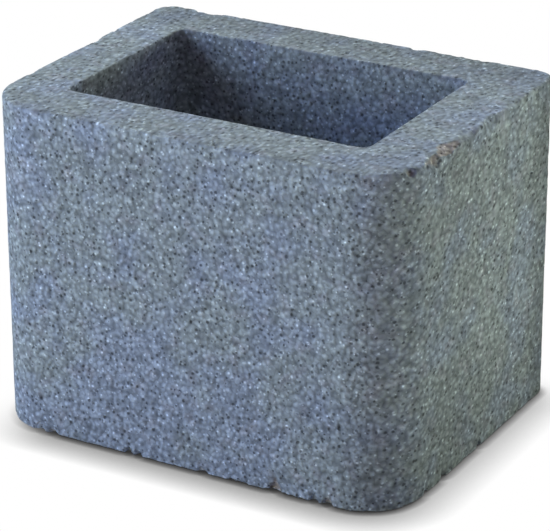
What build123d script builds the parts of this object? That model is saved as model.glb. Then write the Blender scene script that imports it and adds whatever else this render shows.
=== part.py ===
"""Hollow concrete block with one large cell, standing with the cell upright.

Millimetres, +Z up.  The origin is the middle of the footprint on the ground.
+X runs along the length and -Y is the front, the side with the broad corners.
"""
import os

from build123d import *

# Outer size
block_length = 400
block_depth = 300
block_height = 300

# Walls round the cell, measured on the top rim
left_wall = 52
right_wall = 59
front_wall = 58
back_wall = 56

# Upright corners of the block and of the cell
front_corner_radius = 52
back_corner_radius = 18
cell_corner_radius = 8

# The cell narrows downwards, so that the core can be drawn out of the top
core_draft = 1.0

# Worn or rounded edges
rim_edge_radius = 5
foot_edge_radius = 2
mouth_edge_radius = 2

# The cell as it opens in the top rim
cell_length = block_length - left_wall - right_wall
cell_depth = block_depth - front_wall - back_wall
cell_centre_x = (left_wall - right_wall) / 2
cell_centre_y = (front_wall - back_wall) / 2


with BuildPart() as concrete_block:
    # Body: a rectangle with broad corners in front and tight ones behind
    with BuildSketch() as footprint:
        Rectangle(block_length, block_depth)
        front_corners = footprint.vertices().group_by(Axis.Y)[0]
        fillet(front_corners, radius=front_corner_radius)
        back_corners = footprint.vertices().group_by(Axis.Y)[-1]
        fillet(back_corners, radius=back_corner_radius)
    extrude(amount=block_height)

    # Cell: one tapered opening, right through from the rim to the foot
    with BuildSketch(Plane.XY.offset(block_height)) as cell_mouth:
        with Locations((cell_centre_x, cell_centre_y)):
            RectangleRounded(cell_length, cell_depth, cell_corner_radius)
    extrude(amount=-block_height, taper=core_draft, mode=Mode.SUBTRACT)

    # Edges: the outer and inner edge of the rim, and of the foot
    rim = concrete_block.faces().sort_by(Axis.Z)[-1]
    fillet(rim.outer_wire().edges(), radius=rim_edge_radius)
    rim = concrete_block.faces().sort_by(Axis.Z)[-1]
    fillet(rim.inner_wires()[0].edges(), radius=mouth_edge_radius)
    foot = concrete_block.faces().sort_by(Axis.Z)[0]
    fillet(foot.outer_wire().edges(), radius=foot_edge_radius)
    foot = concrete_block.faces().sort_by(Axis.Z)[0]
    fillet(foot.inner_wires()[0].edges(), radius=mouth_edge_radius)

concrete_block.part.label = "concrete_block"

os.makedirs("parts", exist_ok=True)
export_step(concrete_block.part, "parts/concrete_block.step")
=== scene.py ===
"""Hollow block of pressed concrete: its worn, pitted skin, and a plain pale studio.

The block's skin is one closed surface, worked out as whole arrays and then
thinned where it is flat.  Metres, +Z up, the origin on the ground under the
middle of the block, -Y to the front.
"""
import logging
import math
from dataclasses import dataclass, field, fields
from enum import Enum, IntEnum
from typing import Optional, Sequence, Union

import bpy
import numpy as np
from mathutils import Matrix, Vector


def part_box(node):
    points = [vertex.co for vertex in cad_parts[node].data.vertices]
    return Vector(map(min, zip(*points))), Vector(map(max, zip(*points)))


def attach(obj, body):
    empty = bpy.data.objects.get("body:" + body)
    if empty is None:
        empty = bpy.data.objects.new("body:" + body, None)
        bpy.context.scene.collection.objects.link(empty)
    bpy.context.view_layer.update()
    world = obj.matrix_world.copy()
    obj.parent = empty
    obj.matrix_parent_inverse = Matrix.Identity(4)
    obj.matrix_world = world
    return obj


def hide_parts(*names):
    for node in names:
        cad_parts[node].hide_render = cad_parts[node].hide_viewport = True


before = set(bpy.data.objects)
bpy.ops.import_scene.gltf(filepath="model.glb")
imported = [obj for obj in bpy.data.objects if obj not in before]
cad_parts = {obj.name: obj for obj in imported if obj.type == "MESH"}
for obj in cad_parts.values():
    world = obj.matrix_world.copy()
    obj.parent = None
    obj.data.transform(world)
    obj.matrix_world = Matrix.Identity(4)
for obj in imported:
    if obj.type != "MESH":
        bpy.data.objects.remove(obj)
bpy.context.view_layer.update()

LOG = logging.getLogger("concrete_block")
NODE = "concrete_block"
MM = 0.001

Sizes = Union[float, np.ndarray]
Reach = tuple[float, float]
Layers = tuple[tuple[float, float], ...]
Triple = tuple[float, float, float]
Colour = tuple[float, float, float, float]
Socket = bpy.types.NodeSocket
Link = Union[Socket, float, tuple[float, ...]]
Parts = dict[Union[int, str], Link]

# Large odd numbers and bit shifts that stir a lattice cell into a random number
AXIS_FACTORS = np.array([0x8DA6B343, 0xD8163841, 0xCB1AB31F], dtype=np.uint32)
SEED_FACTOR = 0x9E3779B1
STIRS = ((15, 0x2C1B3C6D), (12, 0x297A2D39))
LAST_SHIFT = 15
WHOLE_NUMBERS = 2 ** 32


class Seed(IntEnum):
    """Numbers of the random patterns, each the first of a short run."""

    UNEVEN = 11
    BEND = 20
    PORES = 31
    VOIDS = 41
    CRUMBLE = 51
    BREAK = 61
    RUB_AND_HIGHLIGHT = 71


def lattice_random(cells: np.ndarray, seed: int) -> np.ndarray:
    """Give every cell of a lattice its own random number.

    The three whole numbers of a cell are each multiplied by a large odd
    number and combined bit by bit, then stirred by shifts and products.

    Args:
        cells: Whole-number cell places, last axis x, y, z.
        seed: Number of the random pattern.

    Returns:
        Numbers from 0 to 1, one for each cell.
    """
    parts = cells.astype(np.uint32) * AXIS_FACTORS
    stirred = parts[..., 0] ^ parts[..., 1] ^ parts[..., 2]
    stirred ^= np.uint32((seed * SEED_FACTOR) % WHOLE_NUMBERS)
    for shift, factor in STIRS:
        stirred ^= stirred >> np.uint32(shift)
        stirred *= np.uint32(factor)
    stirred ^= stirred >> np.uint32(LAST_SHIFT)
    return stirred.astype(np.float32) / np.float32(WHOLE_NUMBERS)


def smooth_noise(points: np.ndarray, wavelength: float, seed: int) -> np.ndarray:
    """Noise that swells and sinks over one wavelength.

    Each lattice corner has a random value from -1 to 1, and a point takes the
    mean of its eight corners, weighted by 6t^5 - 15t^4 + 10t^3 on each axis.

    Args:
        points: Places in metres, last axis x, y, z.
        wavelength: Lattice spacing in metres.
        seed: Number of the random pattern.

    Returns:
        Values from -1 to 1, one for each point.
    """
    scaled = points / wavelength
    base = np.floor(scaled).astype(np.int64)
    t = (scaled - base).astype(np.float32)
    t = t * t * t * (t * (t * 6 - 15) + 10)
    total = np.zeros(points.shape[:-1], dtype=np.float32)
    for step in np.ndindex(2, 2, 2):
        weight = np.prod(np.where(np.array(step) == 1, t, 1 - t), axis=-1)
        total += weight * (2 * lattice_random(base + np.array(step), seed) - 1)
    return total


def layered_noise(points: np.ndarray, layers: Layers, seed: int) -> np.ndarray:
    """Add up smooth noises, each times its height.

    Args:
        points: Places in metres, last axis x, y, z.
        layers: Height and wavelength of each layer.
        seed: Number of the first layer's random pattern; the others follow on.

    Returns:
        The sums, one for each point.
    """
    return sum(height * smooth_noise(points, wavelength, seed + number)
               for number, (height, wavelength) in enumerate(layers))


def scattered_pits(points: np.ndarray, spacing: float, share: float,
                   radii: Reach, seed: int) -> np.ndarray:
    """Depth of round hollows scattered at random.

    Every lattice cell holds one centre at a random place, and a share of them
    has a hollow.  At the distance d from its centre a hollow of radius r is
    r (1 - (d / r)^2) deep, and where several overlap the deepest one counts.

    Args:
        points: Places in metres, last axis x, y, z.
        spacing: Lattice spacing in metres.
        share: Share of the cells that have a hollow.
        radii: Smallest and largest radius in metres.
        seed: Number of the random pattern.

    Returns:
        Depths in metres, 0 between the hollows.
    """
    scaled = points / spacing
    base = np.floor(scaled).astype(np.int64)
    deepest = np.zeros(points.shape[:-1], dtype=np.float32)
    smallest, largest = radii
    for step in np.ndindex(3, 3, 3):
        cells = base + (np.array(step) - 1)
        centres = np.stack([lattice_random(cells, seed + axis) for axis in range(3)], axis=-1)
        away = np.linalg.norm(scaled - cells - centres, axis=-1) * spacing
        draw = lattice_random(cells, seed + 3)
        radius = smallest + (largest - smallest) * (draw / share) ** 2
        bowl = radius * (1 - (away / radius) ** 2)
        deepest = np.maximum(deepest, np.where(draw < share, bowl, 0))
    return deepest


def steps_between(start: float, stop: float, step: float) -> np.ndarray:
    """Even places from start up to, but not including, stop."""
    count = max(1, round(abs(stop - start) / step))
    return start + (stop - start) * np.arange(count) / count


@dataclass(frozen=True)
class Plan:
    """Rectangle with round corners, seen from above, in metres."""

    left: Sizes
    right: Sizes
    front: Sizes
    back: Sizes
    front_radius: Sizes
    back_radius: Sizes

    def inset(self, depth: Sizes) -> "Plan":
        """The same rectangle with each side moved inwards by depth."""
        return Plan(self.left + depth, self.right - depth, self.front + depth,
                    self.back - depth, self.front_radius - depth, self.back_radius - depth)

    def mixed(self, other: "Plan", share: Sizes) -> "Plan":
        """The rectangle that lies a share of the way from this one to the other."""
        return Plan(*(getattr(self, f.name) * (1 - share) + getattr(other, f.name) * share
                      for f in fields(Plan)))

    def corner_centres(self) -> tuple[np.ndarray, np.ndarray]:
        """Centres and radii of the corners, from front left, anticlockwise.

        Returns:
            The centres, (stations, 4, 2), and the radii, (stations, 4).
        """
        front, back = self.front_radius, self.back_radius
        x = [self.left + front, self.right - front, self.right - back, self.left + back]
        y = [self.front + front, self.front + front, self.back - back, self.back - back]
        centres = np.stack([np.stack(x, axis=-1), np.stack(y, axis=-1)], axis=-1)
        return centres, np.stack([front, front, back, back], axis=-1)


@dataclass(frozen=True)
class Lap:
    """Places once round a plan, anticlockwise from the front left corner.

    A place has a direction, the angle of its outward normal, and lies a share
    of the way from one corner's centre to the next one's.  Its point is the
    mixed centre plus the mixed radius times the direction, so the angle turns
    through a corner and the share runs along a side.
    """

    corner: np.ndarray
    share: np.ndarray
    angle: np.ndarray

    @classmethod
    def round(cls, plan: Plan, step: float) -> "Lap":
        """Space the places so that they lie one step apart on a plan.

        Args:
            plan: A plan of one size.
            step: Distance between the places, in metres.

        Returns:
            The places.
        """
        centres, radii = plan.corner_centres()
        corners, shares, angles = [], [], []
        for number in range(4):
            start = math.pi + number * math.pi / 2
            turn = steps_between(start, start + math.pi / 2, step / float(radii[number]))
            side = float(np.linalg.norm(centres[(number + 1) % 4] - centres[number]))
            run = steps_between(0.0, 1.0, step / side)
            corners.append(np.full(len(turn) + len(run), number))
            shares.append(np.concatenate([np.zeros(len(turn)), run]))
            angles.append(np.concatenate([turn, np.full(len(run), start + math.pi / 2)]))
        return cls(np.concatenate(corners), np.concatenate(shares), np.concatenate(angles))

    def directions(self) -> np.ndarray:
        """Outward unit vectors in plan, (places, 2)."""
        return np.stack([np.cos(self.angle), np.sin(self.angle)], axis=-1)

    def points(self, plan: Plan) -> np.ndarray:
        """Put the places on every station of a plan.

        Args:
            plan: A plan whose sizes are arrays, one value for each station.

        Returns:
            The points, (stations, places, 2).
        """
        centres, radii = plan.corner_centres()
        following = (self.corner + 1) % 4
        centre = (centres[:, self.corner] * (1 - self.share)[:, None]
                  + centres[:, following] * self.share[:, None])
        radius = radii[:, self.corner] * (1 - self.share) + radii[:, following] * self.share
        return centre + radius[..., None] * self.directions()


class Side(Enum):
    """Sides of the block, each by the direction that it faces, in degrees from +X."""

    RIGHT = 0
    BACK = 90
    LEFT = 180
    FRONT = 270


class Level(Enum):
    """Which end of the block an edge lies at: 1 at the top, -1 at the foot."""

    TOP = 1
    FOOT = -1


@dataclass(frozen=True)
class Chip:
    """A piece broken off an outer edge, in millimetres and degrees.

    Attributes:
        side: The side of the block that it is broken from.
        level: The end of the block that its edge lies at.
        along: Distance of its middle from the side's middle, towards +X or +Y.
        length: Its length along the edge.
        depth: How far it goes in from the sharp edge, along its facing.
        lean: Angle of its facing over the level, downwards at a foot.
        turn: Angle by which its facing is turned from the side's, anticlockwise.
        fresh: How much of the concrete's brown inside it shows, from 0 to 1.
    """

    side: Side
    level: Level
    along: float
    length: float
    depth: float
    lean: float = 45.0
    turn: float = 0.0
    fresh: float = 0.0

    def bite(self, points: np.ndarray, low: np.ndarray, high: np.ndarray,
             rough: np.ndarray) -> np.ndarray:
        """Push the points that the chip takes away back onto its broken face.

        The broken face is a plane across the edge, deepest in its middle: at
        the distance s along the edge it lies depth (1 - (2 s / length)^2)
        inside the sharp edge, less the roughness.

        Args:
            points: The skin's points.
            low: Lowest corner of the block.
            high: Highest corner of the block.
            rough: Height of the broken face's roughness at each point.

        Returns:
            The moved points.
        """
        outwards = math.radians(self.side.value)
        normal = np.round([math.cos(outwards), math.sin(outwards), self.level.value])
        tangent = np.abs([normal[1], normal[0], 0.0])
        edge = (low + high) / 2 + normal * (high - low) / 2
        lean = math.radians(self.lean)
        turned = outwards + math.radians(self.turn)
        facing = np.array([math.cos(turned) * math.cos(lean), math.sin(turned) * math.cos(lean),
                           self.level.value * math.sin(lean)])
        away = points - (edge + tangent * (self.along * MM))
        along = away @ np.array([-math.sin(turned), math.cos(turned), 0.0])
        depth = self.depth * MM * (1 - (2 * along / (self.length * MM)) ** 2)
        excess = np.where(depth > 0, np.clip(away @ facing + depth - rough, 0, None), 0)
        return points - excess[..., None] * facing


@dataclass(frozen=True)
class Relief:
    """How uneven the pressed and struck faces are, in metres.

    Attributes:
        unevenness: Height and wavelength of its layers: swell, unevenness and sand grain.
        bend: How far the outlines of pores and voids are bent, over bend_length.
        pore_depth: Depth of a pore for each unit of its radius; void_depth is alike.
        crumble: Depth to which an outer edge crumbles, over crumble_reach from it.
        crumble_least: Looseness under which nothing crumbles.
        rub_and_highlight_reach: How far from the rim's outer edge the pale rubbing and painted
            highlight show.
    """

    unevenness: Layers = ((0.15 * MM, 85 * MM), (0.12 * MM, 17 * MM), (0.18 * MM, 5.5 * MM))
    bend: float = 0.8 * MM
    bend_length: float = 5 * MM
    pore_spacing: float = 6.5 * MM
    pore_share: float = 0.42
    pore_radii: Reach = (0.9 * MM, 2.2 * MM)
    pore_depth: float = 0.6
    void_spacing: float = 26 * MM
    void_share: float = 0.30
    void_radii: Reach = (1.8 * MM, 3.6 * MM)
    void_depth: float = 0.7
    crumble: float = 0.9 * MM
    crumble_reach: float = 4.0 * MM
    crumble_least: float = 0.25
    crumble_layers: Layers = ((1.0, 9 * MM), (0.7, 4 * MM), (0.6, 38 * MM))
    rub_and_highlight_reach: float = 6.0 * MM
    rub_and_highlight_layers: Layers = ((1.0, 16 * MM), (0.6, 5 * MM))
    rub_and_highlight_contrast: float = 2.2

    def depth(self, points: np.ndarray, edge_distance: np.ndarray) -> np.ndarray:
        """How far each point of the skin lies below the flat, true face.

        It is the sum of each layer's height times 1 plus its noise, of the
        pores, of the voids, and of the crumbling, which falls off from an
        outer edge as exp(-(distance / reach)^2).

        Args:
            points: Places on the true faces.
            edge_distance: Distance of each from the nearest outer edge.

        Returns:
            Depths in metres, never under 0.
        """
        uneven: Sizes = 0.0
        for number, (height, length) in enumerate(self.unevenness):
            uneven = uneven + height * (1 + smooth_noise(points, length, Seed.UNEVEN + number))
        bend = np.stack([smooth_noise(points, self.bend_length, Seed.BEND + axis)
                         for axis in range(3)], axis=-1)
        bent = points + self.bend * bend
        pores = scattered_pits(bent, self.pore_spacing, self.pore_share, self.pore_radii,
                               Seed.PORES)
        voids = scattered_pits(bent, self.void_spacing, self.void_share, self.void_radii,
                               Seed.VOIDS)
        loose = layered_noise(points, self.crumble_layers, Seed.CRUMBLE)
        closeness = np.exp(-(edge_distance / self.crumble_reach) ** 2)
        crumble = self.crumble * closeness * np.clip(loose - self.crumble_least, 0, None)
        return uneven + self.pore_depth * pores + self.void_depth * voids + crumble

    def rubbed_and_highlit(self, points: np.ndarray, rim_distance: np.ndarray) -> np.ndarray:
        """How pale the rim's outer edge is, partly from rubbing and partly as a painted highlight.

        It falls off from the edge as exp(-(distance / reach)^2), in patches.

        Args:
            points: Places on the true faces.
            rim_distance: Distance of each from the rim's outer edge.

        Returns:
            Values from 0 to 1, one for each point.
        """
        patches = layered_noise(points, self.rub_and_highlight_layers, Seed.RUB_AND_HIGHLIGHT)
        closeness = np.exp(-(rim_distance / self.rub_and_highlight_reach) ** 2)
        return closeness * np.clip(self.rub_and_highlight_contrast * patches, 0, 1)


@dataclass
class BlockSkin:
    """The whole block: outer walls, rim, cell and foot, as one closed surface.

    Attributes:
        core_draft: Angle by which each wall of the cell leans in downwards.
        fine_step: Distance between the grid's points.
        hidden_step: Distance between the stations deep in the cell.
        foot_step: Distance between the stations under the foot.
        lit_depth: How deep the cell's finer stations go.
        triangles: Number of triangles to which the grid is thinned.
        break_roughness: Height and wavelength of the layers of a broken face.
    """

    left_wall: float = 52 * MM
    right_wall: float = 59 * MM
    front_wall: float = 58 * MM
    back_wall: float = 56 * MM
    front_corner_radius: float = 52 * MM
    back_corner_radius: float = 18 * MM
    cell_corner_radius: float = 8 * MM
    core_draft: float = math.radians(1.0)
    rim_edge_radius: float = 3 * MM
    foot_edge_radius: float = 2 * MM
    mouth_edge_radius: float = 2 * MM
    fine_step: float = 1.1 * MM
    quick_step: float = 3.0 * MM
    hidden_step: float = 3.0 * MM
    foot_step: float = 2.1 * MM
    lit_depth: float = 120 * MM
    triangles: int = 190_000
    break_roughness: Layers = ((1.3 * MM, 9 * MM), (0.7 * MM, 4 * MM), (0.3 * MM, 2 * MM))
    relief: Relief = field(default_factory=Relief)
    chips: tuple[Chip, ...] = (
        Chip(Side.RIGHT, Level.TOP, -58, 46, 5.6, 60, 4, 1.0),
        Chip(Side.RIGHT, Level.TOP, -84, 40, 5.2, 24, -4, 0.4),
        Chip(Side.RIGHT, Level.TOP, -120, 20, 8.4, 40, -18, 0.3),
        Chip(Side.RIGHT, Level.TOP, -22, 40, 4.4, 62, 3),
        Chip(Side.RIGHT, Level.TOP, 22, 44, 4.4, 28),
        Chip(Side.RIGHT, Level.TOP, 62, 30, 4.4, 46, -5, 0.3),
        Chip(Side.BACK, Level.TOP, -150, 40, 4.0, 60),
        Chip(Side.BACK, Level.TOP, 65, 24, 3.4, 45),
        Chip(Side.LEFT, Level.TOP, 30, 22, 3.6, 40, 0, 0.4),
        Chip(Side.LEFT, Level.FOOT, -60, 34, 3.8, 40),
        Chip(Side.BACK, Level.FOOT, 30, 26, 3.8, 45),
        Chip(Side.FRONT, Level.FOOT, -150, 16, 4.6, 30, -6),
        Chip(Side.FRONT, Level.FOOT, -136, 12, 4.8, 26, 4, 0.4),
        Chip(Side.FRONT, Level.FOOT, -58, 10, 5.0, 24, 5),
        Chip(Side.FRONT, Level.FOOT, -48, 10, 5.0, 30, -5),
        Chip(Side.FRONT, Level.FOOT, 17, 14, 4.8, 30, -7, 0.3),
        Chip(Side.FRONT, Level.FOOT, 50, 30, 3.0, 40),
        Chip(Side.FRONT, Level.FOOT, 87, 14, 6.0, 22, 6, 0.8),
        Chip(Side.FRONT, Level.FOOT, 124, 12, 5.2, 26, 4),
        Chip(Side.FRONT, Level.FOOT, 137, 12, 5.6, 26, 14, 0.4),
        Chip(Side.RIGHT, Level.FOOT, 10, 10, 4.4, 30),
        Chip(Side.RIGHT, Level.FOOT, -59, 14, 4.6, 30, 5),
        Chip(Side.RIGHT, Level.FOOT, -90, 14, 4.8, 34),
    )

    def __post_init__(self) -> None:
        low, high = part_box(NODE)
        self.low = np.array(low, dtype=float)
        self.high = np.array(high, dtype=float)

    def outer_plan(self) -> Plan:
        """Plan of the outer walls."""
        return Plan(self.low[0], self.high[0], self.low[1], self.high[1],
                    self.front_corner_radius, self.back_corner_radius)

    def cell_plan(self) -> Plan:
        """Plan of the cell where it opens in the rim."""
        return Plan(self.low[0] + self.left_wall, self.high[0] - self.right_wall,
                    self.low[1] + self.front_wall, self.high[1] - self.back_wall,
                    self.cell_corner_radius, self.cell_corner_radius)

    def stations(self) -> dict[str, np.ndarray]:
        """Walk once round the block's section: up outside, in, down the cell, out.

        A station lies on the outer plan, on the cell's plan or a share of the
        way between them.  Each edge is a quarter round of its radius r, whose
        inset is r (1 - cos t) and whose height is r sin t from its start.

        Returns:
            Share, inset of each plan, height, and level and upward part of
            the normal, one of each for every station.
        """
        height = self.high[2]
        quarter = math.pi / 2
        foot, rim, mouth = self.foot_edge_radius, self.rim_edge_radius, self.mouth_edge_radius
        fine, wall = self.fine_step, self.front_wall
        rows: list[np.ndarray] = []

        def add(share: Sizes, outer: Sizes, cell: Sizes, z: Sizes, tilt: Sizes) -> None:
            """Add stations, with tilt as the normal's angle from outwards to inwards."""
            rows.append(np.stack(np.broadcast_arrays(share, outer, cell, z, tilt), axis=-1))

        turn = steps_between(-quarter, 0.0, fine / foot)
        add(0.0, foot * (1 - np.cos(turn)), 0.0, foot + foot * np.sin(turn), turn)
        add(0.0, 0.0, 0.0, steps_between(foot, height - rim, fine), 0.0)
        turn = steps_between(0.0, quarter, fine / rim)
        add(0.0, rim * (1 - np.cos(turn)), 0.0, height - rim + rim * np.sin(turn), turn)
        add(steps_between(0.0, 1.0, fine / wall), rim, -mouth, height, quarter)
        turn = steps_between(quarter, 2 * quarter, fine / mouth)
        add(1.0, 0.0, -mouth * (1 + np.cos(turn)), height - mouth + mouth * np.sin(turn), turn)
        lit = height - self.lit_depth
        add(1.0, 0.0, 0.0, steps_between(height - mouth, lit, fine), 2 * quarter)
        add(1.0, 0.0, 0.0, steps_between(lit, mouth, self.hidden_step), 2 * quarter)
        turn = steps_between(2 * quarter, 3 * quarter, fine / mouth)
        add(1.0, 0.0, -mouth * (1 + np.cos(turn)), mouth + mouth * np.sin(turn), turn)
        add(steps_between(1.0, 0.0, self.foot_step / wall), foot, -mouth, 0.0, 3 * quarter)
        share, outer, cell, z, tilt = np.concatenate(rows).T
        drawn = (height - z) * math.tan(self.core_draft)
        return {"share": share, "outer": outer, "cell": cell + drawn * (share > 0), "z": z,
                "level": np.cos(tilt), "up": np.sin(tilt)}

    def grid(self) -> tuple[np.ndarray, np.ndarray, np.ndarray, np.ndarray]:
        """Lay out the true surface on a grid of stations and places.

        Returns:
            The points and the normals, (stations, places, 3), and for each
            station its distances from the outer edges of the rim and the foot.
        """
        at = self.stations()
        outer = self.outer_plan().inset(at["outer"])
        cell = self.cell_plan().inset(at["cell"])
        lap = Lap.round(self.outer_plan(), self.fine_step)
        flat = lap.points(outer.mixed(cell, at["share"]))
        column = (*flat.shape[:2], 1)
        z = np.broadcast_to(at["z"][:, None, None], column)
        points = np.concatenate([flat, z], axis=-1)
        level = at["level"][:, None, None] * lap.directions()[None]
        up = np.broadcast_to(at["up"][:, None, None], column)
        normals = np.concatenate([level, up], axis=-1)
        wall = self.front_wall * at["share"]
        from_rim = np.hypot(self.high[2] - at["z"], wall)
        from_foot = np.hypot(at["z"] - self.low[2], wall)
        return points, normals, from_rim[:, None], from_foot[:, None]

    def weathered(self) -> tuple[np.ndarray, dict[str, np.ndarray]]:
        """Wear the true surface down: unevenness, pores, crumbled edges and chips.

        Returns:
            The points, (stations, places, 3), and for each of them its marks:
            its depth below the true face before any chip ("hollow") and how
            fresh it is broken ("broken"), in millimetres, and how pale its edge is,
            partly rubbed and partly a painted highlight, from 0 to 1 ("rubbed").
        """
        points, normals, from_rim, from_foot = self.grid()
        depth = self.relief.depth(points, np.minimum(from_rim, from_foot))
        worn = points - depth[..., None] * normals
        rough = layered_noise(points, self.break_roughness, Seed.BREAK)
        broken = np.zeros_like(depth)
        for chip in self.chips:
            left = chip.bite(worn, self.low, self.high, rough)
            broken += chip.fresh * np.linalg.norm(left - worn, axis=-1)
            worn = left
        # The rim's pale outer edge: partly rubbing, partly a painted highlight
        rubbed_and_highlit = self.relief.rubbed_and_highlit(points, from_rim)
        return worn, {"hollow": depth / MM, "broken": broken / MM, "rubbed_and_highlit": rubbed_and_highlit}

    def mesh(self) -> bpy.types.Mesh:
        """Join the worn points into one closed mesh that carries their marks.

        Each point has one quad, which it shares with the next place and the
        next station.  Both ways the last ones join the first again.

        Returns:
            The mesh, before it is thinned.
        """
        worn, marks = self.weathered()
        stations, places = worn.shape[:2]
        count = stations * places
        row, column = np.meshgrid(np.arange(stations), np.arange(places), indexing="ij")
        next_row, next_column = (row + 1) % stations, (column + 1) % places
        quads = np.stack([row * places + column, row * places + next_column,
                          next_row * places + next_column, next_row * places + column], axis=-1)
        mesh = bpy.data.meshes.new("block_skin")
        mesh.vertices.add(count)
        mesh.vertices.foreach_set("co", worn.astype(np.float32).ravel())
        mesh.loops.add(quads.size)
        mesh.loops.foreach_set("vertex_index", quads.astype(np.int32).ravel())
        mesh.polygons.add(count)
        mesh.polygons.foreach_set("loop_start", np.arange(0, quads.size, 4, dtype=np.int32))
        for name, values in marks.items():
            kept = mesh.attributes.new(name, "FLOAT", "POINT")
            kept.data.foreach_set("value", values.astype(np.float32).ravel())
        mesh.update(calc_edges=True)
        mesh.validate()
        return mesh

    def build(self) -> bpy.types.Object:
        """Returns:
            The finished object, at the origin.
        """
        mesh = self.mesh()
        skin = bpy.data.objects.new("block_skin", mesh)
        bpy.context.scene.collection.objects.link(skin)
        thin = skin.modifiers.new("thin", "DECIMATE")
        thin.ratio = self.triangles / (2 * len(mesh.polygons))
        graph = bpy.context.evaluated_depsgraph_get()
        skin.data = bpy.data.meshes.new_from_object(skin.evaluated_get(graph))
        skin.modifiers.clear()
        bpy.data.meshes.remove(mesh)
        skin.data.shade_smooth()
        return skin


class NodeSheet:
    """The nodes of a material or of the world, laid out by short calls."""

    # Sockets of the colour mixing node, which has others for numbers and vectors
    MIX_FIRST = 6
    MIX_SECOND = 7
    MIX_RESULT = 2

    # Share of a spot's radius over which its middle is full
    SPOT_MIDDLE = 0.3

    def __init__(self, tree: bpy.types.NodeTree) -> None:
        """Start with an empty tree."""
        self.tree = tree
        tree.nodes.clear()

    def node(self, kind: str, inputs: Optional[Parts] = None, **settings: object) -> bpy.types.Node:
        """Add a node.

        Args:
            kind: Type of the node, without the ShaderNode that all begin with.
            inputs: Links or constants for its inputs, by name or number.
            **settings: Its properties, by name.

        Returns:
            The node.
        """
        new = self.tree.nodes.new("ShaderNode" + kind)
        for name, value in settings.items():
            setattr(new, name, value)
        for name, value in (inputs or {}).items():
            if isinstance(value, Socket):
                self.tree.links.new(value, new.inputs[name])
            else:
                new.inputs[name].default_value = value
        return new

    def sums(self, operation: str, *values: Link) -> Socket:
        """Result of one step of arithmetic, such as MULTIPLY."""
        return self.node("Math", dict(enumerate(values)), operation=operation).outputs[0]

    def vectors(self, operation: str, first: Link, second: Link, result: str = "Vector") -> Socket:
        """Result of one step of arithmetic on two vectors, such as ADD."""
        return self.node("VectorMath", {0: first, 1: second}, operation=operation).outputs[result]

    def scaled(self, vector: Link, factor: Link) -> Socket:
        """A vector or colour times a number."""
        parts = {0: vector, "Scale": factor}
        return self.node("VectorMath", parts, operation="SCALE").outputs["Vector"]

    def blended(self, *parts: tuple[Link, float]) -> Socket:
        """Add up parts.

        Args:
            *parts: Each part and its weight.

        Returns:
            The sum of each part times its weight.
        """
        total: Link = 0.0
        for part, weight in parts:
            total = self.sums("MULTIPLY_ADD", part, weight, total)
        return total

    def places(self) -> Socket:
        """Place on the piece, in metres."""
        return self.node("TexCoord").outputs["Object"]

    def axes(self, place: Link) -> tuple[Socket, ...]:
        """The x, y and z of a place."""
        return tuple(self.node("SeparateXYZ", {0: place}).outputs)

    def mark(self, name: str) -> Socket:
        """A mark that the mesh carries at its points."""
        return self.node("Attribute", attribute_name=name).outputs["Fac"]

    def noise(self, place: Link, wavelength: float, detail: float = 1.0,
              result: str = "Fac") -> Socket:
        """Smooth noise around 0.5 of a wavelength in metres, with finer layers as its detail."""
        parts = {"Vector": place, "Scale": 1 / wavelength, "Detail": detail}
        return self.node("TexNoise", parts).outputs[result]

    def cells(self, place: Link, spacing: float) -> tuple[Socket, Socket]:
        """Find the nearest of many scattered points.

        Args:
            place: Place on the piece.
            spacing: Mean distance between the points, in metres.

        Returns:
            Its distance as a share of the spacing, and its random number from 0 to 1.
        """
        texture = self.node("TexVoronoi", {"Vector": place, "Scale": 1 / spacing})
        split = self.node("SeparateColor", {0: texture.outputs["Color"]})
        return texture.outputs["Distance"], split.outputs[0]

    def ramp(self, value: Link, low: Link, high: Link, start: float = 0.0,
             end: float = 1.0) -> Socket:
        """Rise smoothly from start to end while the value goes from low to high."""
        parts = {"Value": value, "From Min": low, "From Max": high, "To Min": start, "To Max": end}
        return self.node("MapRange", parts, interpolation_type="SMOOTHSTEP").outputs["Result"]

    def spots(self, place: Link, spacing: float, radius: float) -> Socket:
        """Scatter soft-edged spots, from half the radius up to all of it.

        Args:
            place: Place on the piece.
            spacing: Mean distance between the spots, in metres.
            radius: Radius of the largest spot, in metres.

        Returns:
            1 in the middle of each spot, falling to 0 at its edge.
        """
        away, draw = self.cells(place, spacing)
        largest = radius / spacing
        size = self.ramp(draw, 0.0, 1.0, largest / 2, largest)
        return self.ramp(away, size, self.sums("MULTIPLY", size, self.SPOT_MIDDLE))

    def mixed(self, share: Link, first: Link, second: Link) -> Socket:
        """Mix two colours, with a share of the second."""
        parts = {0: share, self.MIX_FIRST: first, self.MIX_SECOND: second}
        return self.node("Mix", parts, data_type="RGBA").outputs[self.MIX_RESULT]

    def seen_or_not(self, kind: str, unseen: Socket, seen: Socket) -> None:
        """End in one shader for the light on the block and another for the picture.

        Args:
            kind: Type of the output node.
            unseen: The shader that lights the block.
            seen: The shader that a camera, a mirror or a glass shows.
        """
        path = self.node("LightPath").outputs
        shown = self.sums("MAXIMUM", path["Is Camera Ray"], path["Is Glossy Ray"])
        shown = self.sums("MAXIMUM", shown, path["Is Transmission Ray"])
        either = self.node("MixShader", {0: shown, 1: unseen, 2: seen})
        self.node(kind, {"Surface": either.outputs["Shader"]})


def rgb(*screen: float) -> Colour:
    """Turn a screen's colour into a shader's linear one, by the formula of sRGB.

    Args:
        *screen: Red, green and blue, from 0 to 255.

    Returns:
        The linear colour, opaque.
    """
    linear = [c / 12.92 if c <= 0.04045 else ((c + 0.055) / 1.055) ** 2.4
              for c in (part / 255 for part in screen)]
    return (*linear, 1.0)


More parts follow.
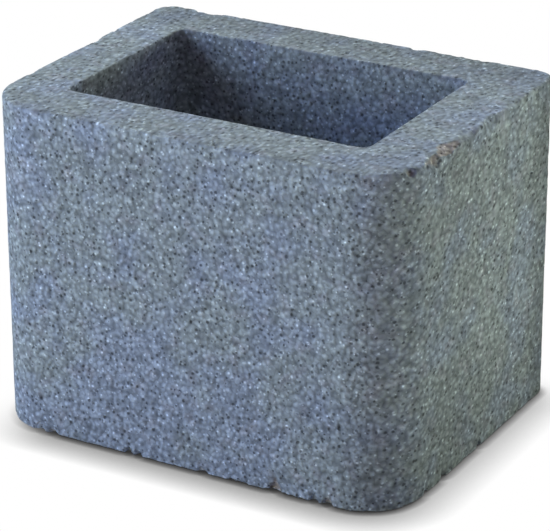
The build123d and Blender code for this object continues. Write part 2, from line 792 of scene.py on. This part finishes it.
@dataclass(frozen=True)
class StainOrPaintedLight:
    """A stretch of the block painted darker or paler, mostly painted light and shade.

    Along each axis that has a reach, it comes in smoothly from the first
    place of the reach to the second, and these rises are multiplied.

    Attributes:
        shade: How much paler it is, and under 0 how much darker.
        x: Its reach from left to right.
        y: Its reach from front to back.
        z: Its reach in height.
    """

    shade: float
    x: Optional[Reach] = None
    y: Optional[Reach] = None
    z: Optional[Reach] = None

    def share(self, sheet: NodeSheet, axes: Sequence[Socket]) -> Link:
        """How much of the stretch shows.

        Args:
            sheet: The material's nodes.
            axes: The x, y and z of the place.

        Returns:
            A number from 0 to 1.
        """
        total: Link = 1.0
        for axis, reach in zip(axes, (self.x, self.y, self.z)):
            if reach is not None:
                total = sheet.sums("MULTIPLY", total, sheet.ramp(axis, *reach))
        return total


# Reaches that the painted tones share: up to the rim, to the right side and its far end, to the
# front
TO_RIM: Reach = (298 * MM, 299.2 * MM)
TO_RIGHT: Reach = (190 * MM, 199 * MM)
TO_FAR_END: Reach = (90 * MM, 138 * MM)
TO_FRONT: Reach = (-130 * MM, -142 * MM)


@dataclass(frozen=True)
class PressedConcrete:
    """Matt grey concrete of coarse sand, with open pores painted dark as their shade, and pale
    grains.

    A shade of 1 makes the colour twice as light, and -1 half as light.  Every
    part of the grain has a shade, and most have a height too, in metres.

    Attributes:
        cool: Colour of the bluer blotches.
        warm: Colour of the greener blotches.
        rusty: Colour of the small brownish patches.
        fresh: Colour of the broken faces of chips.
        warmth: How far the blotches lean to the greener colour.
        blueness: How far they lean to it in the bluer place low on the front, under 0 for away.
        blue_reach: Distances from that place's middle at which it starts and is full.
        stretch: Scale of the grain's pattern from front to back, under 1 for longer grains.
        wobble: How far the grains' outlines are bent, over wobble_length.
        pore_shift: Shift of the pores' pattern from that of the domed grains; pale_shift is alike.
        hollow_range: Depths, in millimetres, between which a hollow is painted darker, as painted
            shade.
        broken_range: Depths, in millimetres, between which a chip shows its inside.
        struck_range: Heights between which the smoother grain of the struck rim begins.
        struck_grain: Strength of the grain on the rim.
    """

    cool: Colour = rgb(119, 131, 141)
    warm: Colour = rgb(122, 133, 133)
    rusty: Colour = rgb(125, 129, 134)
    fresh: Colour = rgb(125, 123, 119)
    blotch_length: float = 45 * MM
    blotch_range: Reach = (0.35, 0.65)
    warmth: float = 0.06
    blueness: float = -0.20
    blue_middle: Triple = (-45 * MM, -150 * MM, 15 * MM)
    blue_reach: Reach = (160 * MM, 50 * MM)
    patch_length: float = 15 * MM
    patch_range: Reach = (0.5, 0.75)
    patch_share: float = 0.45
    stretch: float = 0.72
    wobble: float = 1.2 * MM
    wobble_length: float = 3 * MM
    sand_length: float = 4.1 * MM
    sand_shade: float = 1.6
    sand_height: float = 1.0 * MM
    dome_spacing: float = 4.4 * MM
    dome_shade: float = 1.0
    dome_height: float = 1.2 * MM
    tone_shade: float = 0.6
    pore_spacing: float = 5 * MM
    pore_shift: Triple = (0.2, 0.6, 0.1)
    pore_radius: float = 2.0 * MM
    # Open pores painted dark, as the shade in them
    pore_painted_shade: float = -1.5
    pore_height: float = -0.5 * MM
    pale_spacing: float = 5 * MM
    pale_shift: Triple = (0.5, 0.3, 0.7)
    pale_radius: float = 1.8 * MM
    pale_shade: float = 1.1
    pale_height: float = 0.25 * MM
    hollow_range: Reach = (1.0, 2.4)
    # Hollows painted darker the deeper they are, as painted shade
    hollow_shade: float = -0.45
    broken_range: Reach = (0.2, 1.6)
    broken_shade: float = 0.1
    # The rim's pale outer edge: partly rubbing, partly a painted highlight
    rubbed_and_highlit_shade: float = 0.3
    struck_range: Reach = (293 * MM, 298 * MM)
    struck_grain: float = 0.85
    roughness: float = 0.93
    specular: float = 0.25
    stains_and_painted_light: tuple[StainOrPaintedLight, ...] = (
        # The right side, darker towards its foot
        StainOrPaintedLight(-0.34, x=(120 * MM, 195 * MM), z=(125 * MM, 35 * MM)),
        # The rim: painted shade towards the back, and darker along its front edge
        StainOrPaintedLight(-0.50, y=(60 * MM, 150 * MM), z=TO_RIM),
        StainOrPaintedLight(-0.32, y=TO_FRONT, z=TO_RIM),
        # Painted light: a lighter band at the top of the front
        StainOrPaintedLight(0.14, y=TO_FRONT, z=(276 * MM, 290 * MM)),
        # Painted shade on the near half of the right side and on its far end, less dark on the rim
        StainOrPaintedLight(-0.20, x=TO_RIGHT, y=(15 * MM, -40 * MM)),
        StainOrPaintedLight(-0.72, x=TO_RIGHT, y=TO_FAR_END),
        StainOrPaintedLight(0.52, x=TO_RIGHT, y=TO_FAR_END, z=TO_RIM),
    )

    def blotches(self, sheet: NodeSheet, place: Link) -> Socket:
        """Colour without its grain: cool and warm blotches, and small brownish patches.

        Args:
            sheet: The material's nodes.
            place: Place on the block.

        Returns:
            The colour.
        """
        away = sheet.vectors("DISTANCE", place, self.blue_middle, "Value")
        lean = sheet.ramp(away, *self.blue_reach, self.warmth, self.blueness)
        uneven = sheet.sums("ADD", sheet.noise(place, self.blotch_length, detail=3.0), lean)
        blotch = sheet.mixed(sheet.ramp(uneven, *self.blotch_range), self.cool, self.warm)
        patches = sheet.noise(place, self.patch_length)
        patch = sheet.ramp(patches, *self.patch_range, 0.0, self.patch_share)
        return sheet.mixed(patch, blotch, self.rusty)

    def grain(self, sheet: NodeSheet, whole: Link) -> tuple[Socket, Socket]:
        """Sand, domed grains of their own tones, open pores painted dark as their shade, and pale
        grains.

        Args:
            sheet: The material's nodes.
            whole: Place on the block.

        Returns:
            The shade and the height, in metres.
        """
        place = sheet.vectors("MULTIPLY", whole, (1.0, self.stretch, 1.0))
        sway = sheet.noise(place, self.wobble_length, result="Color")
        bent = sheet.vectors("ADD", place, sheet.scaled(sway, self.wobble))
        away, tone = sheet.cells(bent, self.dome_spacing)
        dome = sheet.sums("SUBTRACT", 0.5, away)
        tone = sheet.sums("SUBTRACT", tone, 0.5)
        # Open pores painted dark, as the shade in them
        pore_place = sheet.vectors("ADD", bent, self.pore_shift)
        pore = sheet.spots(pore_place, self.pore_spacing, self.pore_radius)
        pale_place = sheet.vectors("ADD", bent, self.pale_shift)
        pale = sheet.spots(pale_place, self.pale_spacing, self.pale_radius)
        sand = sheet.sums("SUBTRACT", sheet.noise(place, self.sand_length, detail=0.0), 0.5)
        shade = sheet.blended((sand, self.sand_shade), (dome, self.dome_shade),
                              (tone, self.tone_shade), (pore, self.pore_painted_shade),
                              (pale, self.pale_shade))
        height = sheet.blended((sand, self.sand_height), (dome, self.dome_height),
                               (pore, self.pore_height), (pale, self.pale_height))
        return shade, height

    def material(self) -> bpy.types.Material:
        """Make the material: the blotches times 2 to the power of all the shades.

        Returns:
            The material.
        """
        concrete = bpy.data.materials.new("pressed_concrete")
        concrete.use_nodes = True
        sheet = NodeSheet(concrete.node_tree)
        place = sheet.places()
        axes = sheet.axes(place)
        grain, height = self.grain(sheet, place)
        struck = sheet.ramp(axes[2], *self.struck_range)
        strength = sheet.sums("MULTIPLY_ADD", struck, self.struck_grain - 1, 1.0)
        # Painted shade: the deeper a hollow, the darker it is painted
        hollow = sheet.ramp(sheet.mark("hollow"), *self.hollow_range)
        broken = sheet.ramp(sheet.mark("broken"), *self.broken_range)
        shade = sheet.blended(
            (sheet.sums("MULTIPLY", grain, strength), 1.0), (hollow, self.hollow_shade),
            # The rim's pale outer edge: partly rubbing, partly a painted highlight
            (broken, self.broken_shade), (sheet.mark("rubbed_and_highlit"), self.rubbed_and_highlit_shade),
            # Stretches painted darker or paler, mostly painted light and shade
            *((stain_or_light.share(sheet, axes), stain_or_light.shade) for stain_or_light in self.stains_and_painted_light))
        colour = sheet.mixed(broken, self.blotches(sheet, place), self.fresh)
        bump = sheet.node("Bump", {"Distance": 1.0,
                                   "Height": sheet.sums("MULTIPLY", height, strength)})
        surface = sheet.node("BsdfPrincipled", {
            "Base Color": sheet.scaled(colour, sheet.sums("POWER", 2.0, shade)),
            "Roughness": self.roughness, "Specular IOR Level": self.specular,
            "Normal": bump.outputs["Normal"]})
        sheet.node("OutputMaterial", {"Surface": surface.outputs["BSDF"]})
        return concrete


@dataclass
class ConcreteBlock:
    """The block as it stands: its skin, dressed in its finish."""

    skin: BlockSkin
    finish: PressedConcrete

    def build(self) -> bpy.types.Object:
        """Build the skin, dress it and put it in place of its node.

        Returns:
            The finished block.
        """
        piece = self.skin.build()
        piece.data.materials.append(self.finish.material())
        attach(piece, "root")
        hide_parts(NODE)
        return piece


@dataclass(frozen=True)
class Softbox:
    """A round soft lamp that faces the block.

    Attributes:
        name: Its name.
        azimuth: Its direction from the block, in degrees from the front towards +X.
        elevation: Its height over the level, in degrees.
        distance: Its distance from the block's middle, in metres.
        size: Its diameter, in metres.
        power: Its power, in watts, for a colour of 1.
        colour: Its colour, red, green and blue.
    """

    name: str
    azimuth: float
    elevation: float
    distance: float
    size: float
    power: float
    colour: Triple

    def build(self, target: Vector) -> None:
        """Hang the lamp.

        Args:
            target: The place that it faces.
        """
        lamp = bpy.data.lights.new(self.name, "AREA")
        lamp.shape = "DISK"
        lamp.size = self.size
        lamp.energy = self.power
        lamp.color = self.colour
        holder = bpy.data.objects.new(self.name, lamp)
        turn, rise = math.radians(self.azimuth), math.radians(self.elevation)
        level = math.cos(rise)
        away = Vector((math.sin(turn) * level, -math.cos(turn) * level, math.sin(rise)))
        holder.location = target + away * self.distance
        holder.rotation_euler = away.to_track_quat("Z", "Y").to_euler()
        bpy.context.scene.collection.objects.link(holder)


@dataclass(frozen=True)
class Studio:
    """Plain pale floor, soft light from all round, and softboxes.

    Attributes:
        contacts: Reach and power of each part of the contact shadow.
        contact_lean: The direction that the contact shadow looks out in from the floor.
        contact_wash: Places between which the contact shadow fades out to the left.
        contact_samples: How finely the contact shadow is taken.
    """

    floor_size: float = 40.0
    floor_colour: Colour = (0.72, 0.73, 0.74, 1.0)
    contacts: tuple[tuple[float, float], ...] = ((8 * MM, 1.5), (40 * MM, 1.1))
    contact_lean: Triple = (-0.38, 0.77, 0.51)
    contact_wash: Reach = (-130 * MM, -235 * MM)
    contact_samples: int = 16
    sky: Colour = (0.85, 0.65, 1.0, 1.0)
    sky_strength: float = 0.22
    white: Colour = (1.0, 1.0, 1.0, 1.0)
    lamps: tuple[Softbox, ...] = (
        Softbox("front_key", -30, 8, 2.6, 1.6, 40.0, (0.93, 0.88, 0.60)),
        Softbox("left_window", -45, 20, 2.6, 1.6, 40.0, (0.30, 0.51, 1.15)),
        Softbox("high_back", -150, 60, 2.6, 1.6, 40.0, (1.45, 1.54, 1.51)),
        Softbox("right_fill", 118, 2, 2.6, 0.7, 40.0, (0.84, 0.89, 0.63)),
        Softbox("right_window", 110, 35, 2.6, 1.2, 40.0, (0.10, 0.11, 0.13)),
    )

    def contact_light(self, sheet: NodeSheet) -> Socket:
        """Light that the block leaves on the floor round its foot.

        It is the share of the space over a place that the block leaves open
        within each reach, to that reach's power, and these are multiplied.
        The lean to the back and the left makes the shadow deepest in front
        and on the right, and round the block's left end it fades out.

        Args:
            sheet: The floor's nodes.

        Returns:
            A number from 0 to 1.
        """
        lean = sheet.node("CombineXYZ", dict(enumerate(self.contact_lean)))
        light: Link = 1.0
        for reach, power in self.contacts:
            parts = {"Distance": reach, "Normal": lean.outputs["Vector"]}
            contact = sheet.node("AmbientOcclusion", parts, samples=self.contact_samples)
            light = sheet.sums("MULTIPLY", light, sheet.sums("POWER", contact.outputs["AO"], power))
        washed = sheet.ramp(sheet.axes(sheet.places())[0], *self.contact_wash)
        return sheet.sums("MULTIPLY_ADD", washed, sheet.sums("SUBTRACT", 1.0, light), light)

    def floor(self) -> None:
        """Lay the floor: white where it is seen, with the block's contact shadow."""
        half = self.floor_size / 2
        corners = [(-half, -half, 0), (half, -half, 0), (half, half, 0), (-half, half, 0)]
        mesh = bpy.data.meshes.new("floor")
        mesh.from_pydata(corners, [], [(0, 1, 2, 3)])
        floor = bpy.data.objects.new("floor", mesh)
        bpy.context.scene.collection.objects.link(floor)
        pale = bpy.data.materials.new("pale_floor")
        pale.use_nodes = True
        sheet = NodeSheet(pale.node_tree)
        matt = sheet.node("BsdfDiffuse", {"Color": self.floor_colour})
        glow = sheet.node("Emission", {"Strength": self.contact_light(sheet)})
        sheet.seen_or_not("OutputMaterial", matt.outputs["BSDF"], glow.outputs["Emission"])
        mesh.materials.append(pale)

    def world(self) -> None:
        """Light the block from all round, and show plain white behind it."""
        world = bpy.data.worlds.new("studio")
        world.use_nodes = True
        sheet = NodeSheet(world.node_tree)
        soft = sheet.node("Background", {"Color": self.sky, "Strength": self.sky_strength})
        plain = sheet.node("Background", {"Color": self.white})
        sheet.seen_or_not("OutputWorld", soft.outputs["Background"],
                          plain.outputs["Background"])
        bpy.context.scene.world = world

    def build(self, target: Vector) -> None:
        """Lay the floor, set the sky and hang the lamps.

        Args:
            target: The place that the lamps face.
        """
        self.floor()
        self.world()
        for lamp in self.lamps:
            lamp.build(target)


@dataclass(frozen=True)
class PhotoCamera:
    """The photograph's viewpoint, fitted to the block's outline.

    Attributes:
        place: Where the camera stands, in metres.
        forward: The direction that it looks in.
        roll: How far it is turned about that direction.
        focal_px: Its focal length, in pixels of a picture of width_px.
        sensor: Width of its sensor, in millimetres.
    """

    place: Triple = (1.1499, -2.0067, 1.1202)
    forward: Triple = (-0.4564, 0.7985, -0.3926)
    roll: float = math.radians(-0.2)
    focal_px: float = 2871.0
    width_px: int = 550
    sensor: float = 36.0

    def build(self) -> bpy.types.Object:
        """Set up the camera and make it the scene's.

        Returns:
            The camera.
        """
        lens = bpy.data.cameras.new("photo_camera")
        lens.sensor_fit = "HORIZONTAL"
        lens.sensor_width = self.sensor
        lens.lens = self.focal_px / self.width_px * self.sensor
        camera = bpy.data.objects.new("photo_camera", lens)
        turn = Vector(self.forward).to_track_quat("-Z", "Y").to_matrix().to_4x4()
        rolled = turn @ Matrix.Rotation(self.roll, 4, "Z")
        camera.matrix_world = Matrix.Translation(self.place) @ rolled
        bpy.context.scene.collection.objects.link(camera)
        bpy.context.scene.camera = camera
        return camera


def main() -> None:
    """Build the block and its studio, and report each piece."""
    logging.basicConfig(level=logging.INFO, format="%(name)s: %(message)s")
    block = ConcreteBlock(BlockSkin(), PressedConcrete())
    piece = block.build()
    LOG.info("%s: %d faces", piece.name, len(piece.data.polygons))
    studio = Studio()
    studio.build(Vector((0.0, 0.0, block.skin.high[2] / 2)))
    LOG.info("floor, sky and %d lamps", len(studio.lamps))
    camera = PhotoCamera().build()
    LOG.info("%s: %.0f mm lens", camera.name, camera.data.lens)
    bpy.context.scene.view_settings.view_transform = "Standard"


if __name__ == "__main__":
    main()
